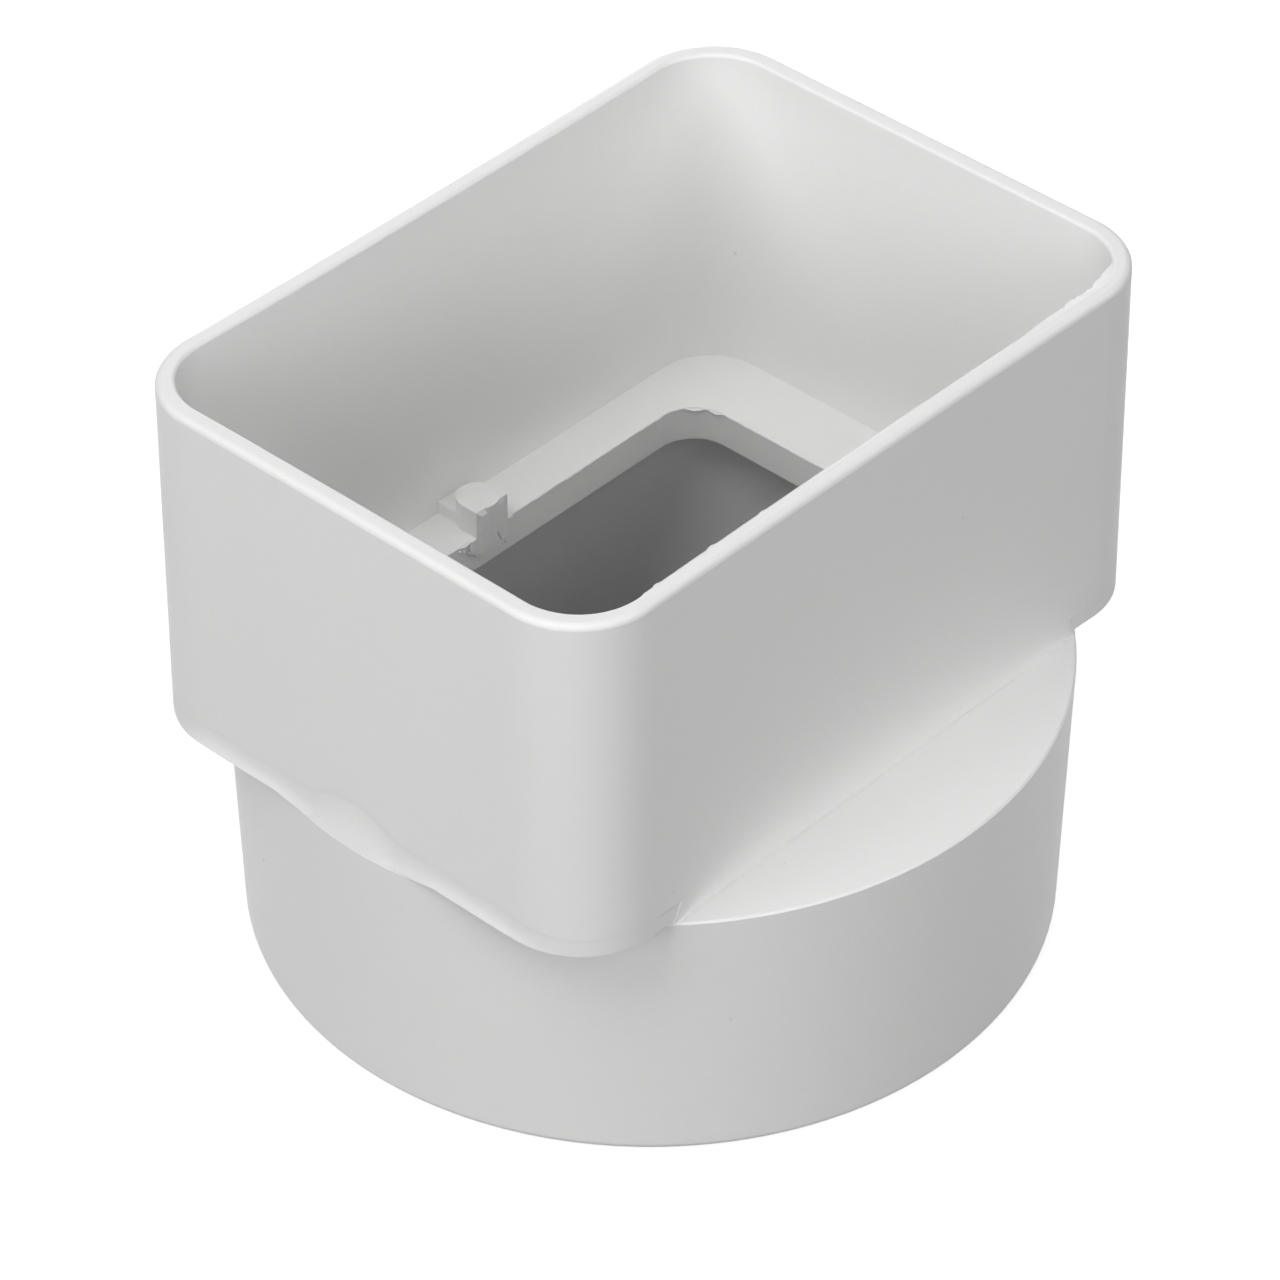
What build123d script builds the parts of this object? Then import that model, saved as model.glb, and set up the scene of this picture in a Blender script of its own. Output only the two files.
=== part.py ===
import os
from build123d import *

# Downspout adapter, sizes in millimetres.
# Origin at the bottom centre of the pipe hub, +Z up, +X along the long side of the box.

# round hub that takes the drain pipe
hub_bore_r = 41.45
hub_mouth_wall = 1.95
hub_draft = 0.85
hub_height = 31.5
hub_top_break = 0.2
hub_mouth_round = 1.0
hub_lead_in = 0.4
ceiling_depth = 1.7

# rectangular socket that takes the downspout
box_length = 86.7
box_width = 63.2
box_height = 41.55
box_corner_r = 9.3
box_draft = 0.1
foot_taper = 0.6
long_wall = 1.9
short_wall = 2.1
socket_draft = 0.5
long_bow = 0.4
short_bow = 0.2
rim_outer_round = 0.7
rim_inner_round = 0.4

# ledge inside the box and the opening through it
ledge_thickness = 2.5
opening_length = 63.7
opening_width = 46.6
opening_corner_r = 4.7

# what is left of the moulding gate on the long edge of the opening
gate_x = 0.3
gate_width = 4.7
gate_depth = 4.4
gate_rise = 3.4
gate_proud = 0.3
web_width = 3.7
web_rise = 1.45
tail_width = 6.7
tail_drop = 2.9
tail_shoulder = 0.75

# heights that follow from the sizes above
shelf_z = hub_height
ledge_z = shelf_z + ledge_thickness
rim_z = shelf_z + box_height
ceiling_z = shelf_z - ceiling_depth
hub_mouth_r = hub_bore_r + hub_mouth_wall
hub_shelf_r = hub_mouth_r + hub_draft
overlap = 0.6


def side(start, end, inward):
    # one straight or slightly bowed side of a box outline
    middle = (Vector(*start) + Vector(*end)) * 0.5 + Vector(*inward)
    if Vector(*inward).length == 0:
        return Line(start, end)
    return ThreePointArc(start, middle, end)


def box_outline(half_x, half_y, corner_r, bow_long, bow_short, z):
    # rounded rectangle at height z whose two long sides and near short side bow inwards
    p = [(-half_x, -half_y, z), (half_x, -half_y, z), (half_x, half_y, z), (-half_x, half_y, z)]
    sides = [
        side(p[0], p[1], (0, bow_long, 0)),
        side(p[1], p[2], (0, 0, 0)),
        side(p[2], p[3], (0, -bow_long, 0)),
        side(p[3], p[0], (bow_short, 0, 0)),
    ]
    face = Face(Wire(sides))
    return face.fillet_2d(corner_r, face.vertices())


# outside of the hub and of the box
hub = Cone(hub_mouth_r, hub_shelf_r, hub_height, align=(Align.CENTER, Align.CENTER, Align.MIN))
rim_x = box_length / 2
rim_y = box_width / 2
foot_x = rim_x + box_draft
foot_y = rim_y + box_draft
foot_outer = box_outline(foot_x - foot_taper, foot_y - foot_taper, box_corner_r - foot_taper, 0, 0, shelf_z)
parting_outer = box_outline(foot_x, foot_y, box_corner_r, 0, 0, ledge_z)
rim_outer = box_outline(rim_x, rim_y, box_corner_r, long_bow, short_bow, rim_z)
box = loft([foot_outer, parting_outer, rim_outer], ruled=True)
box = fillet(box.edges().group_by(Axis.Z)[-1], rim_outer_round)

# inside of the box, from the ledge to the rim
inner_x = rim_x - short_wall
inner_y = rim_y - long_wall
inner_r = box_corner_r - long_wall
ledge_inner = box_outline(inner_x - socket_draft, inner_y - socket_draft, inner_r - socket_draft, 0, 0, ledge_z)
rim_inner = box_outline(inner_x, inner_y, inner_r, long_bow, short_bow, rim_z)
socket = loft([ledge_inner, rim_inner], ruled=True)

# bore of the hub and the opening through the ledge
bore = Cylinder(hub_bore_r, ceiling_z, align=(Align.CENTER, Align.CENTER, Align.MIN))
opening_face = RectangleRounded(opening_length, opening_width, opening_corner_r)
opening = extrude(Pos(0, 0, ceiling_z - overlap) * opening_face, ledge_z - ceiling_z + 2 * overlap)

# the hub's top edge is broken where it shows and stays square under the corners of the box
hub_soft = chamfer(hub.edges().group_by(Axis.Z)[-1], hub_top_break)
under_box = hub & extrude(foot_outer, -2 * hub_top_break)

# below the parting line the overhanging corners taper in, and over the hub the walls go straight down
runout = Pos(0, 0, shelf_z) * Cone(
    hub_shelf_r, foot_x, ledge_thickness, align=(Align.CENTER, Align.CENTER, Align.MIN)
)
walls_on_hub = runout & extrude(parting_outer, -ledge_thickness)
# the hub runs out into the two short walls
short_side = Pos(0, 0, shelf_z) * Box(4 * rim_x, rim_y, 4 * ledge_thickness)

body = hub_soft + under_box + box + walls_on_hub + (runout & short_side) - socket - bore - opening

# gate: a half-round post on the ledge, a low web behind it and a tail down the opening wall
gate_y = opening_width / 2 - gate_proud
post_r = gate_width / 2
post_mid_y = gate_y + gate_depth - post_r
post_face = Pos(gate_x, post_mid_y) * Circle(post_r)
post_face += Pos(gate_x, gate_y) * Rectangle(gate_width, post_mid_y - gate_y, align=(Align.CENTER, Align.MIN))
post = extrude(Pos(0, 0, ledge_z - overlap) * post_face, gate_rise + overlap)
web_end_y = inner_y - socket_draft + overlap
web = Pos(gate_x, post_mid_y, ledge_z - overlap) * Box(
    web_width,
    web_end_y - post_mid_y,
    web_rise + overlap,
    align=(Align.CENTER, Align.MIN, Align.MIN),
)
tail_plane = Plane((gate_x, gate_y, ledge_z - tail_shoulder), x_dir=(1, 0, 0), z_dir=(0, 1, 0))
tail_disc = extrude(tail_plane * Ellipse(tail_width / 2, tail_drop - tail_shoulder), gate_proud + overlap)
tail_keep = Pos(gate_x, gate_y, ledge_z) * Box(
    2 * tail_width,
    4 * tail_width,
    2 * tail_drop,
    align=(Align.CENTER, Align.CENTER, Align.MAX),
)
tail = tail_disc & tail_keep
body = body + post + web + tail

# softened edges of the rim and of the hub mouth
rim_edges = body.faces().sort_by(Axis.Z)[-1].inner_wires()[0].edges()
body = fillet(rim_edges, rim_inner_round)
mouth = body.faces().sort_by(Axis.Z)[0]
body = fillet(mouth.outer_wire().edges(), hub_mouth_round)
mouth = body.faces().sort_by(Axis.Z)[0]
body = chamfer(mouth.inner_wires()[0].edges(), hub_lead_in)

os.makedirs("parts", exist_ok=True)
export_step(body, "parts/adapter_body.step")
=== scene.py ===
import math
import bmesh
import bpy
from mathutils import Matrix, Vector, noise


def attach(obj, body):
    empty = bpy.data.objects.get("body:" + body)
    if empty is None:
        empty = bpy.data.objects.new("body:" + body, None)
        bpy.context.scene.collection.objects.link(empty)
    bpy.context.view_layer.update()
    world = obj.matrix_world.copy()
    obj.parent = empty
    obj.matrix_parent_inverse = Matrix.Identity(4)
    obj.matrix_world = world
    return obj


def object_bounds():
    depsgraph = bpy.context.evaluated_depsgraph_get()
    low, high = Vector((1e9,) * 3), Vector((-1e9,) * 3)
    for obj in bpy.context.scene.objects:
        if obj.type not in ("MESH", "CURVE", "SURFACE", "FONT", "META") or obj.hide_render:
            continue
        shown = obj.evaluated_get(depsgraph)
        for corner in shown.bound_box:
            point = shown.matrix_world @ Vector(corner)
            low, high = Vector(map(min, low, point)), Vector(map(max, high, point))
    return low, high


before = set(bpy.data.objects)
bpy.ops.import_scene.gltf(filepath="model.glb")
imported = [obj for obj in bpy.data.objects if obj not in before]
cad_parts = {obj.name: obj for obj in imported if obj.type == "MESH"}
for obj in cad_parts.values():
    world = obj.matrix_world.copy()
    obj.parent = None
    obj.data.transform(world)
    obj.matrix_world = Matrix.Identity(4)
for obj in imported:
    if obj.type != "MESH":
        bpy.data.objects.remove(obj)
cad_low, cad_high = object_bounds()
scene = bpy.context.scene
scene.view_settings.view_transform = "Standard"

# Sizes in metres, shared with the solid.
MM = 0.001
HUB_HEIGHT = 31.5 * MM
LEDGE_Z = 34.0 * MM
RIM_Z = cad_high[2]
RIM_INNER_X = 41.25 * MM
RIM_INNER_Y = 29.7 * MM
RIM_INNER_R = 7.4 * MM
RIM_BOW = 0.4 * MM
BOX_DRAFT = 0.1 * MM
SHORT_BOW = 0.2 * MM
FOOT_X = 43.45 * MM
FOOT_Y = 31.7 * MM
FOOT_R = 9.3 * MM
FOOT_TAPER = 0.6 * MM
FOOT_STRAIGHT = FOOT_Y - FOOT_R
FOOT_ARC = FOOT_R * math.pi / 2
CORNER_FACETS = 15
OPENING_X = 31.85 * MM
OPENING_Y = 23.3 * MM
OPENING_R = 4.7 * MM
GATE_FACE_Y = 23.0 * MM
GATE_LEFT_X = -2.05 * MM
GATE_RIGHT_X = 2.65 * MM
GATE_TOP_Z = 37.4 * MM
# Edges of the added pieces that turn by more than this stay crisp.
SHARP_ANGLE = math.radians(40)

# White plastic: the shade of a grain and of clear plastic, then scale, detail and span of each noise.
PLASTIC_DARK = (0.62, 0.62, 0.61, 1)
PLASTIC_LIGHT = (0.892, 0.892, 0.888, 1)
PLASTIC_IOR = 1.5
PLASTIC_SPECULAR = 0.2
PLASTIC_DEPTH_SHARE = 0.3
PLASTIC_DEPTH = 0.4 * MM
CLOUDS = (28.0, 2.0, 0.93, 0.98)
MOTTLE = (700.0, 3.0, 0.0, 0.02)
GLOSS = (90.0, 4.0, 0.34, 0.39)
PEEL_SCALE = 1600.0
PEEL_DETAIL = 2.0
PEEL_STRENGTH = 0.12
PEEL_DEPTH = 0.01 * MM
NOISE_LOW = 0.3
NOISE_HIGH = 0.7
# Dark grains: cells per metre, the share of cells that hold one, and its soft edge.
GRAIN_SCALE = 420.0
GRAIN_SHARE = 0.05
GRAIN_CORE = 0.04
GRAIN_EDGE = 0.10

# Flared foot of the short walls: how far it stands out, where it starts and how it rises to its edge.
SKIRT_FLARE = 0.4 * MM
SKIRT_TOP_Z = 34.9 * MM
SKIRT_POWER = 3
SKIRT_RISE = 0.81
SKIRT_SKIN = 0.003 * MM
SKIRT_DEPTH = 2.0 * MM
SKIRT_TUCK = 0.1 * MM
SKIRT_FADE = 8.0 * MM
SKIRT_FADE_PAST = 5.0 * MM
SKIRT_ENDS = (2.8 * MM, 4.0 * MM)
SKIRT_STEPS = 90
SKIRT_ROWS = 12
CORNER_LAP = 0.03 * MM
# Lens in the middle of that foot, where the hub's edge stands further out than the flare.
HUB_EDGE_R = 44.22 * MM
LENS_TOP_Z = 36.8 * MM
LENS_REACH = 0.35 * MM

# Flash and burr. A tear is its place along the edge, half width and reach; a grain is how fine it is.
FLASH_ROOT = 0.22 * MM
FLASH_THICKNESS = 0.16 * MM
FLASH_TIP_SHARE = 0.4
RIM_FLASH_FROM = -33.0 * MM
RIM_FLASH_TO = 38.4 * MM
RIM_FLASH_STEPS = 300
RIM_FLASH_DEPTH = 0.16 * MM
RIM_FLASH_DROOP = 0.2
RIM_BURR = 0.05 * MM
RIM_BURR_GRAIN = 0.8 * MM
RIM_TEAR_LEAST = 0.75
RIM_TEAR_SPREAD = 0.5
RIM_TEAR_GRAIN = 0.5 * MM
RIM_TEARS = [
    (27.5 * MM, 4.5 * MM, 0.30 * MM),
    (30.8 * MM, 1.5 * MM, 0.45 * MM),
    (33.6 * MM, 2.4 * MM, 0.50 * MM),
    (36.2 * MM, 2.2 * MM, 0.70 * MM),
    (-31.0 * MM, 0.5 * MM, 0.16 * MM),
    (-23.3 * MM, 0.6 * MM, 0.18 * MM),
    (-16.0 * MM, 0.5 * MM, 0.14 * MM),
]
OPENING_FLASH_LENGTH = 76.0 * MM
OPENING_FLASH_STEPS = 380
OPENING_FLASH_DEPTH = 0.03 * MM
OPENING_FLASH_DROOP = 0.35
OPENING_BURR = 0.3 * MM
OPENING_BURR_WAVE = 3.0 * MM
OPENING_BURR_GRAIN = 0.9 * MM
OPENING_TEAR_LEAST = 0.6
OPENING_TEAR_SPREAD = 0.8
OPENING_TEAR_GRAIN = 0.4 * MM
OPENING_TEARS = [
    (58.3 * MM, 1.2 * MM, 0.30 * MM),
    (60.6 * MM, 0.9 * MM, 0.25 * MM),
    (23.5 * MM, 0.8 * MM, 0.20 * MM),
]

# Torn face of the gate: heights in metres, places across and up the face as shares of it.
GATE_BREAK_FOOT_Z = 32.0 * MM
GATE_TOP_GAP = 0.05 * MM
GATE_INSET = 0.04 * MM
GATE_SKIN = 0.01 * MM
GATE_LEAF = 0.26 * MM
GATE_LEAF_FALL = 0.2 * MM
GATE_TEAR = 0.05 * MM
GATE_TEAR_COUNT = 5
GATE_TEAR_SEED = 3.0
GATE_CREASE_TOP = 0.28
GATE_CREASE_FOOT = 0.72
GATE_GROOVE = 0.042
GATE_GROOVE_SLOPE = 1.8
GATE_SIDE_BORDER = 0.12
GATE_TOP_BORDER = 0.1
GATE_COLUMNS = 80
GATE_ROWS = 60

# Joint line of the mould on the shelf.
WITNESS_Y = -31.95 * MM
WITNESS_FROM = -30.0 * MM
WITNESS_TO = 30.0 * MM
WITNESS_STEPS = 300
WITNESS_WIDTH = 0.12 * MM
WITNESS_CREST = 0.4
WITNESS_WANDER = 0.08 * MM
WITNESS_WANDER_GRAIN = 6 * MM
WITNESS_RISE = 0.035 * MM
WITNESS_RISE_GRAIN = 1.5 * MM

# Crumbs: place and radius, then the least size and the spread of their lumps.
SPECKS = [
    (-4.5 * MM, -32.0 * MM, HUB_HEIGHT, 0.16 * MM),
    (-1.9 * MM, -31.9 * MM, HUB_HEIGHT, 0.12 * MM),
    (13.0 * MM, -32.0 * MM, HUB_HEIGHT, 0.15 * MM),
    (20.2 * MM, -31.9 * MM, HUB_HEIGHT, 0.13 * MM),
    (-4.4 * MM, OPENING_Y, 33.5 * MM, 0.22 * MM),
    (-3.8 * MM, OPENING_Y, 33.2 * MM, 0.26 * MM),
    (-2.9 * MM, OPENING_Y, 32.4 * MM, 0.28 * MM),
    (-2.1 * MM, OPENING_Y, 31.8 * MM, 0.24 * MM),
    (2.5 * MM, OPENING_Y, 31.1 * MM, 0.22 * MM),
]
SPECK_LEAST = 0.6
SPECK_SPREAD = 0.8
SPECK_DIVISIONS = 3

# Photograph's camera, solved from the outlines of the rim, box and hub.
VIEW_AZIMUTH = -47.218
VIEW_ELEVATION = 38.921
VIEW_ROLL = -0.156
VIEW_DISTANCE = 0.6101
VIEW_TARGET_Z = HUB_HEIGHT + 0.14 * MM
LENS_MM = 165.12
SENSOR_MM = 36.0
SHIFT_X = -0.00815
CLIP_START = 0.01
CLIP_END = 20.0

# Soft studio light: name, azimuth from +X, elevation, watts.
STUDIO_LIGHTS = [
    ("left_low", 180, 18, 3.85),
    ("near_low", 225, 18, 2.75),
    ("front_low", 270, 18, 2.2),
    ("left_side", 157, 40, 2.9),
    ("front_near", 247, 40, 1.9),
    ("front_far", 292, 40, 1.45),
    ("left_high", 180, 62, 4.3),
    ("overhead", 0, 88, 1.35),
    ("back_low", 45, 18, 4.0),
]
LIGHT_SIZE = 0.6
LIGHT_DISTANCE = 1.3
LIGHT_TARGET_Z = 0.04
AMBIENT = 0.10

# The floor is white to the camera: its own light, and the part that still takes the shadow.
FLOOR_HALF = 3.0
FLOOR_GAP = 0.2 * MM
FLOOR_GLOW = 0.82
FLOOR_SHADE = 0.42
FLOOR_BOUNCE = 0.06
WHITE = (1, 1, 1, 1)


def make_camera():
    azimuth = math.radians(VIEW_AZIMUTH)
    elevation = math.radians(VIEW_ELEVATION)
    back = Vector((
        math.sin(azimuth) * math.cos(elevation),
        -math.cos(azimuth) * math.cos(elevation),
        math.sin(elevation),
    ))
    data = bpy.data.cameras.new("camera")
    data.lens = LENS_MM
    data.sensor_width = SENSOR_MM
    data.shift_x = SHIFT_X
    data.clip_start = CLIP_START
    data.clip_end = CLIP_END
    camera = bpy.data.objects.new("camera", data)
    scene.collection.objects.link(camera)
    turn = (-back).to_track_quat("-Z", "Y").to_matrix().to_4x4()
    roll = Matrix.Rotation(math.radians(VIEW_ROLL), 4, "Z")
    place = Matrix.Translation(back * VIEW_DISTANCE + Vector((0, 0, VIEW_TARGET_Z)))
    camera.matrix_world = place @ turn @ roll
    scene.camera = camera


def area_light(name, azimuth, elevation, power):
    # round softbox aimed at the middle of the object
    data = bpy.data.lights.new(name, "AREA")
    data.shape = "DISK"
    data.size = LIGHT_SIZE
    data.energy = power
    light = bpy.data.objects.new(name, data)
    flat = math.cos(math.radians(elevation))
    aim = Vector((
        flat * math.cos(math.radians(azimuth)),
        flat * math.sin(math.radians(azimuth)),
        math.sin(math.radians(elevation)),
    ))
    light.location = aim * LIGHT_DISTANCE + Vector((0, 0, LIGHT_TARGET_Z))
    light.rotation_mode = "QUATERNION"
    light.rotation_quaternion = (-aim).to_track_quat("-Z", "Y")
    scene.collection.objects.link(light)


def combine(tree, operation, first, second):
    node = tree.nodes.new("ShaderNodeMath")
    node.operation = operation
    tree.links.new(first, node.inputs[0])
    tree.links.new(second, node.inputs[1])
    return node.outputs["Value"]


def seen_directly(tree):
    # 1 for what the camera sees straight on, in a reflection or through glass
    path = tree.nodes.new("ShaderNodeLightPath")
    total = path.outputs["Is Camera Ray"]
    for name in ("Is Glossy Ray", "Is Transmission Ray"):
        total = combine(tree, "MAXIMUM", total, path.outputs[name])
    return total


def background(tree, strength):
    node = tree.nodes.new("ShaderNodeBackground")
    node.inputs["Color"].default_value = WHITE
    node.inputs["Strength"].default_value = strength
    return node.outputs["Background"]


def make_world():
    # soft grey surround for the object, plain white to the camera
    world = bpy.data.worlds.new("studio")
    scene.world = world
    world.use_nodes = True
    tree = world.node_tree
    tree.nodes.clear()
    out = tree.nodes.new("ShaderNodeOutputWorld")
    mix = tree.nodes.new("ShaderNodeMixShader")
    tree.links.new(seen_directly(tree), mix.inputs["Fac"])
    tree.links.new(background(tree, AMBIENT), mix.inputs[1])
    tree.links.new(background(tree, 1.0), mix.inputs[2])
    tree.links.new(mix.outputs["Shader"], out.inputs["Surface"])


def matt(tree, grey):
    node = tree.nodes.new("ShaderNodeBsdfDiffuse")
    node.inputs["Color"].default_value = (grey, grey, grey, 1)
    return node.outputs["BSDF"]


def make_floor():
    mesh = bpy.data.meshes.new("floor")
    corners = [(-1, -1), (1, -1), (1, 1), (-1, 1)]
    mesh.from_pydata([(FLOOR_HALF * x, FLOOR_HALF * y, 0) for x, y in corners], [], [(0, 1, 2, 3)])
    floor = bpy.data.objects.new("floor", mesh)
    scene.collection.objects.link(floor)
    floor.location.z = -FLOOR_GAP
    material = bpy.data.materials.new("floor_white")
    material.use_nodes = True
    tree = material.node_tree
    tree.nodes.clear()
    out = tree.nodes.new("ShaderNodeOutputMaterial")
    glow = tree.nodes.new("ShaderNodeEmission")
    glow.inputs["Strength"].default_value = FLOOR_GLOW
    seen = tree.nodes.new("ShaderNodeAddShader")
    tree.links.new(matt(tree, FLOOR_SHADE), seen.inputs[0])
    tree.links.new(glow.outputs["Emission"], seen.inputs[1])
    mix = tree.nodes.new("ShaderNodeMixShader")
    tree.links.new(seen_directly(tree), mix.inputs["Fac"])
    tree.links.new(matt(tree, FLOOR_BOUNCE), mix.inputs[1])
    tree.links.new(seen.outputs["Shader"], mix.inputs[2])
    tree.links.new(mix.outputs["Shader"], out.inputs["Surface"])
    mesh.materials.append(material)


def noise_node(tree, coords, scale, detail):
    node = tree.nodes.new("ShaderNodeTexNoise")
    node.inputs["Scale"].default_value = scale
    node.inputs["Detail"].default_value = detail
    tree.links.new(coords, node.inputs["Vector"])
    return node.outputs["Fac"]


def map_range(tree, value, low_in, high_in, low_out, high_out):
    node = tree.nodes.new("ShaderNodeMapRange")
    node.inputs["From Min"].default_value = low_in
    node.inputs["From Max"].default_value = high_in
    node.inputs["To Min"].default_value = low_out
    node.inputs["To Max"].default_value = high_out
    tree.links.new(value, node.inputs["Value"])
    return node.outputs["Result"]


def noise_span(tree, coords, scale, detail, low, high):
    # noise spread over a span of values
    return map_range(tree, noise_node(tree, coords, scale, detail), NOISE_LOW, NOISE_HIGH, low, high)


def grain_mask(tree, coords):
    # 1 on a few tiny dark grains in the plastic
    cells = tree.nodes.new("ShaderNodeTexVoronoi")
    cells.inputs["Scale"].default_value = GRAIN_SCALE
    tree.links.new(coords, cells.inputs["Vector"])
    dots = map_range(tree, cells.outputs["Distance"], GRAIN_CORE, GRAIN_EDGE, 1.0, 0.0)
    chance = tree.nodes.new("ShaderNodeSeparateColor")
    tree.links.new(cells.outputs["Color"], chance.inputs["Color"])
    few = map_range(tree, chance.outputs["Red"], 1 - GRAIN_SHARE, 1.0, 0.0, 1.0)
    return combine(tree, "MULTIPLY", dots, few)


def white_plastic():
    # moulded white plastic: flow clouds, fine mottle, a few grains and a slightly uneven gloss
    material = bpy.data.materials.new("white_plastic")
    material.use_nodes = True
    tree = material.node_tree
    shader = tree.nodes["Principled BSDF"]
    coords = tree.nodes.new("ShaderNodeTexCoord").outputs["Object"]
    tone = combine(tree, "ADD", noise_span(tree, coords, *CLOUDS), noise_span(tree, coords, *MOTTLE))
    tone = combine(tree, "SUBTRACT", tone, grain_mask(tree, coords))
    ramp = tree.nodes.new("ShaderNodeValToRGB")
    ramp.color_ramp.elements[0].color = PLASTIC_DARK
    ramp.color_ramp.elements[1].color = PLASTIC_LIGHT
    tree.links.new(tone, ramp.inputs["Fac"])
    tree.links.new(ramp.outputs["Color"], shader.inputs["Base Color"])
    tree.links.new(noise_span(tree, coords, *GLOSS), shader.inputs["Roughness"])
    bump = tree.nodes.new("ShaderNodeBump")
    bump.inputs["Strength"].default_value = PEEL_STRENGTH
    bump.inputs["Distance"].default_value = PEEL_DEPTH
    tree.links.new(noise_node(tree, coords, PEEL_SCALE, PEEL_DETAIL), bump.inputs["Height"])
    tree.links.new(bump.outputs["Normal"], shader.inputs["Normal"])
    shader.inputs["IOR"].default_value = PLASTIC_IOR
    shader.inputs["Specular IOR Level"].default_value = PLASTIC_SPECULAR
    shader.inputs["Subsurface Weight"].default_value = PLASTIC_DEPTH_SHARE
    shader.inputs["Subsurface Radius"].default_value = (1.0, 1.0, 1.0)
    shader.inputs["Subsurface Scale"].default_value = PLASTIC_DEPTH
    return material


def add_piece(name, shape):
    # a small moulded detail that belongs to the body
    mesh = bpy.data.meshes.new(name)
    bmesh.ops.recalc_face_normals(shape, faces=shape.faces)
    shape.to_mesh(mesh)
    shape.free()
    mesh.shade_smooth()
    mesh.set_sharp_from_angle(angle=SHARP_ANGLE)
    mesh.materials.append(plastic)
    piece = bpy.data.objects.new(name, mesh)
    scene.collection.objects.link(piece)
    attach(piece, "root")


def add_strip(name, stations):
    # closed strip through stations that are rings of points
    shape = bmesh.new()
    rings = [[shape.verts.new(point) for point in station] for station in stations]
    for first, second in zip(rings, rings[1:]):
        for i in range(len(first)):
            j = (i + 1) % len(first)
            shape.faces.new((first[i], first[j], second[j], second[i]))
    shape.faces.new(rings[0])
    shape.faces.new(rings[-1])
    add_piece(name, shape)


def steps(start, end, count):
    # evenly spaced values from start to end
    return [start + (end - start) * i / count for i in range(count + 1)]


def limit(value):
    return min(1.0, max(0.0, value))


def rough(place, size):
    # smooth random value from 0 to 1 that changes over the given length
    return 0.5 + 0.5 * noise.noise(Vector(place) / size)


def tear_reach(along, tears):
    # how far the tears stand out at a place along the edge
    return sum(reach * max(0.0, 1.0 - ((along - middle) / half) ** 2) for middle, half, reach in tears)


def flash_station(edge, inward, reach, top_z, droop):
    # section of a flash that stands out of a wall by its reach
    root = Vector(edge) - Vector(inward) * FLASH_ROOT
    tip = Vector(edge) + Vector(inward) * reach
    tip_z = top_z - droop * reach
    return (
        (root.x, root.y, top_z),
        (tip.x, tip.y, tip_z),
        (tip.x, tip.y, tip_z - FLASH_TIP_SHARE * FLASH_THICKNESS),
        (root.x, root.y, tip_z - FLASH_THICKNESS),
    )


def rim_inner_edge(x):
    # place on the near inner edge of the rim and the direction into the socket
    corner_x = RIM_INNER_X - RIM_INNER_R
    if x <= corner_x:
        return (x, -RIM_INNER_Y + RIM_BOW * (1 - (x / RIM_INNER_X) ** 2), 0), (0, 1, 0)
    corner_y = rim_inner_edge(corner_x)[0][1] + RIM_INNER_R
    turn = math.asin((x - corner_x) / RIM_INNER_R)
    inward = (-math.sin(turn), math.cos(turn), 0)
    return (x, corner_y - RIM_INNER_R * math.cos(turn), 0), inward


def make_rim_flash():
    # ragged flash along the near inner edge of the rim
    stations = []
    for x in steps(RIM_FLASH_FROM, RIM_FLASH_TO, RIM_FLASH_STEPS):
        edge, inward = rim_inner_edge(x)
        ragged = RIM_TEAR_LEAST + RIM_TEAR_SPREAD * rough(edge, RIM_TEAR_GRAIN)
        reach = tear_reach(x, RIM_TEARS) * ragged + RIM_BURR * rough(edge, RIM_BURR_GRAIN)
        stations.append(flash_station(edge, inward, reach, RIM_Z - RIM_FLASH_DEPTH, RIM_FLASH_DROOP))
    add_strip("rim_flash", stations)


def opening_edge(along):
    # walk along the far edge of the opening, round its corner and down the short side
    corner_x = OPENING_X - OPENING_R
    corner_y = OPENING_Y - OPENING_R
    straight = 2 * corner_x
    arc = OPENING_R * math.pi / 2
    if along < straight:
        return (along - corner_x, OPENING_Y, 0), (0, -1, 0)
    if along < straight + arc:
        turn = (along - straight) / OPENING_R
        inward = (-math.sin(turn), -math.cos(turn), 0)
        return (corner_x - OPENING_R * inward[0], corner_y - OPENING_R * inward[1], 0), inward
    return (OPENING_X, corner_y - (along - straight - arc), 0), (-1, 0, 0)


def make_opening_flash():
    # thin uneven burr left by the mould along the upper edge of the opening
    stations = []
    for along in steps(0.0, OPENING_FLASH_LENGTH, OPENING_FLASH_STEPS):
        edge, inward = opening_edge(along)
        ragged = OPENING_TEAR_LEAST + OPENING_TEAR_SPREAD * rough(edge, OPENING_TEAR_GRAIN)
        reach = OPENING_BURR * rough(edge, OPENING_BURR_WAVE) * rough(edge, OPENING_BURR_GRAIN)
        reach += tear_reach(along, OPENING_TEARS) * ragged
        top_z = LEDGE_Z - OPENING_FLASH_DEPTH
        stations.append(flash_station(edge, inward, reach, top_z, OPENING_FLASH_DROOP))
    add_strip("opening_flash", stations)


def gate_relief(across, up):
    # how far the torn face stands out: two leaves that lean away from a groove running down to the right
    crease = GATE_CREASE_TOP + (GATE_CREASE_FOOT - GATE_CREASE_TOP) * (1 - up)
    groove = limit(GATE_GROOVE_SLOPE * (1 - abs(across - crease) / GATE_GROOVE))
    side = min(across, 1 - across) / GATE_SIDE_BORDER
    border = min(1.0, side, (1 - up) / GATE_TOP_BORDER)
    leaf = GATE_LEAF - GATE_LEAF_FALL * max(0.0, across - crease) / (1 - crease)
    tear = GATE_TEAR * rough((across * GATE_TEAR_COUNT, up * GATE_TEAR_COUNT, GATE_TEAR_SEED), 1.0)
    return GATE_SKIN + border * (leaf + tear) * (1 - groove)


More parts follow.
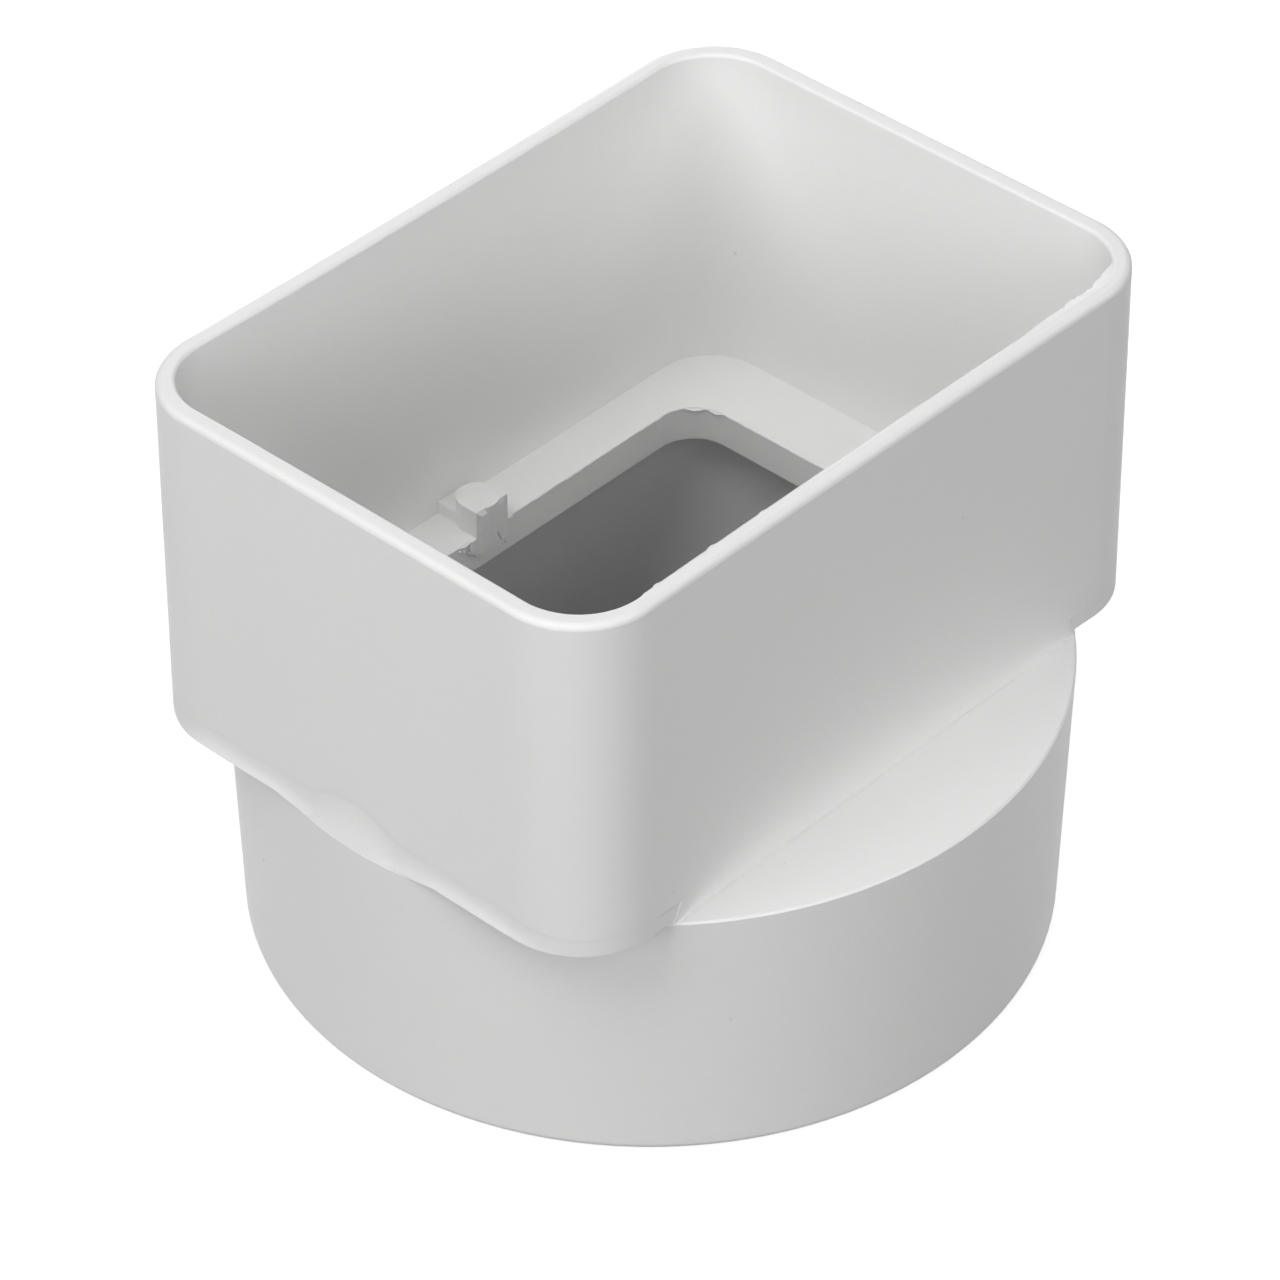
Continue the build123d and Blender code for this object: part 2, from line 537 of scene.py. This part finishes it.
def make_gate_break():
    # torn face where the sprue was snapped off the gate
    shape = bmesh.new()
    left_x = GATE_LEFT_X + GATE_INSET
    right_x = GATE_RIGHT_X - GATE_INSET
    top_z = GATE_TOP_Z - GATE_TOP_GAP
    front = []
    for up in steps(0.0, 1.0, GATE_ROWS):
        line = []
        for across in steps(0.0, 1.0, GATE_COLUMNS):
            x = left_x + (right_x - left_x) * across
            y = GATE_FACE_Y - gate_relief(across, up)
            z = GATE_BREAK_FOOT_Z + (top_z - GATE_BREAK_FOOT_Z) * up
            line.append(shape.verts.new((x, y, z)))
        front.append(line)
    for low_line, high_line in zip(front, front[1:]):
        for i in range(GATE_COLUMNS):
            shape.faces.new((low_line[i], low_line[i + 1], high_line[i + 1], high_line[i]))
    # the sides of the torn face go back into the post
    border = front[0] + [line[-1] for line in front[1:-1]] + front[-1][::-1]
    border += [line[0] for line in front[-2:0:-1]]
    back = [shape.verts.new((v.co.x, GATE_FACE_Y + FLASH_ROOT, v.co.z)) for v in border]
    for i in range(len(border)):
        j = (i + 1) % len(border)
        shape.faces.new((border[i], border[j], back[j], back[i]))
    shape.faces.new(back)
    add_piece("gate_break", shape)


def foot_corner(facet, sign):
    # one facet edge of the rounded corner that follows the short wall
    turn = math.pi / 2 * facet / CORNER_FACETS
    outward = Vector((-math.cos(turn), sign * math.sin(turn), 0))
    middle = Vector((FOOT_R - FOOT_X, sign * FOOT_STRAIGHT, 0))
    return middle + outward * FOOT_R, outward


def foot_places(sign):
    # half of the foot of a short wall from its middle: distance, place, outward direction and skin
    places = []
    for along in steps(0.0, FOOT_STRAIGHT, SKIRT_STEPS)[:-1]:
        places.append((along, Vector((-FOOT_X, sign * along, 0)), Vector((-1, 0, 0)), SKIRT_SKIN))
    for facet in range(CORNER_FACETS + 1):
        place, outward = foot_corner(facet, sign)
        places.append((FOOT_STRAIGHT + FOOT_ARC * facet / CORNER_FACETS, place, outward, SKIRT_SKIN))
    # the ends on the long walls dive under the surface
    for past in SKIRT_ENDS:
        place = Vector((FOOT_R - FOOT_X + past, sign * FOOT_Y, 0))
        places.append((FOOT_STRAIGHT + FOOT_ARC + past, place, Vector((0, sign, 0)), -SKIRT_TUCK))
    return places


def skirt_station(along, place, outward, skin):
    # section of the flared foot, from the wall down to its lower edge and back into the wall
    fade = limit((FOOT_STRAIGHT + SKIRT_FADE_PAST - along) / SKIRT_FADE)
    flare = SKIRT_FLARE * fade * fade * (3 - 2 * fade)
    hub_edge = -FOOT_TAPER
    if along < FOOT_STRAIGHT:
        hub_edge = max(hub_edge, math.sqrt(HUB_EDGE_R ** 2 - along ** 2) - FOOT_X)
    reach = max(flare, hub_edge)
    low_z = HUB_HEIGHT + SKIRT_RISE * (reach - hub_edge)
    lean = (BOX_DRAFT + SHORT_BOW * max(0.0, 1 - (along / FOOT_Y) ** 2)) / (RIM_Z - LEDGE_Z)
    lens = limit((hub_edge - SKIRT_FLARE) / LENS_REACH)
    corner_top_z = LEDGE_Z + CORNER_LAP
    top_z = corner_top_z + (SKIRT_TOP_Z - corner_top_z) * fade + (LENS_TOP_Z - SKIRT_TOP_Z) * lens
    ring = []
    for down in steps(0.0, 1.0, SKIRT_ROWS):
        z = top_z + (low_z - top_z) * down
        sweep = reach * down ** (SKIRT_POWER - lens)
        point = place + outward * (skin - lean * max(0.0, z - LEDGE_Z) + sweep)
        ring.append(Vector((point.x, point.y, z)))
    inner = place - outward * SKIRT_DEPTH
    ring.append(Vector((inner.x, inner.y, low_z + SKIRT_TUCK)))
    ring.append(Vector((inner.x, inner.y, top_z)))
    return ring


def make_foot_skirts():
    # the short walls sweep out a little at their foot and run out into the edge of the hub
    places = foot_places(-1)[:0:-1] + foot_places(1)
    for name, side in (("foot_skirt_near", 1), ("foot_skirt_far", -1)):
        stations = []
        for place in places:
            ring = skirt_station(*place)
            stations.append([(side * point.x, point.y, point.z) for point in ring])
        add_strip(name, stations)


def make_witness_line():
    # fine raised line of the mould joint on the shelf, along the foot of the near long wall
    half = WITNESS_WIDTH / 2
    crest = WITNESS_CREST * half
    root_z = HUB_HEIGHT - WITNESS_WIDTH
    stations = []
    for x in steps(WITNESS_FROM, WITNESS_TO, WITNESS_STEPS):
        y = WITNESS_Y + WITNESS_WANDER * (rough((x, 0, 0), WITNESS_WANDER_GRAIN) - 0.5)
        crest_z = HUB_HEIGHT + WITNESS_RISE * rough((x, 1, 0), WITNESS_RISE_GRAIN)
        stations.append((
            (x, y - crest, crest_z),
            (x, y + crest, crest_z),
            (x, y + half, root_z),
            (x, y - half, root_z),
        ))
    add_strip("shelf_witness_line", stations)


def make_specks():
    # crumbs of plastic on the shelf and beside the gate
    shape = bmesh.new()
    for x, y, z, size in SPECKS:
        made = bmesh.ops.create_icosphere(shape, subdivisions=SPECK_DIVISIONS, radius=size)
        for vert in made["verts"]:
            vert.co *= SPECK_LEAST + SPECK_SPREAD * rough(vert.co + Vector((x, y, z)), size)
            vert.co += Vector((x, y, z))
    add_piece("moulding_specks", shape)


make_camera()
make_world()
make_floor()
for studio_light in STUDIO_LIGHTS:
    area_light(*studio_light)

plastic = white_plastic()
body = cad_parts["adapter_body"]
body.data.materials.clear()
body.data.materials.append(plastic)
make_foot_skirts()
make_rim_flash()
make_opening_flash()
make_gate_break()
make_witness_line()
make_specks()
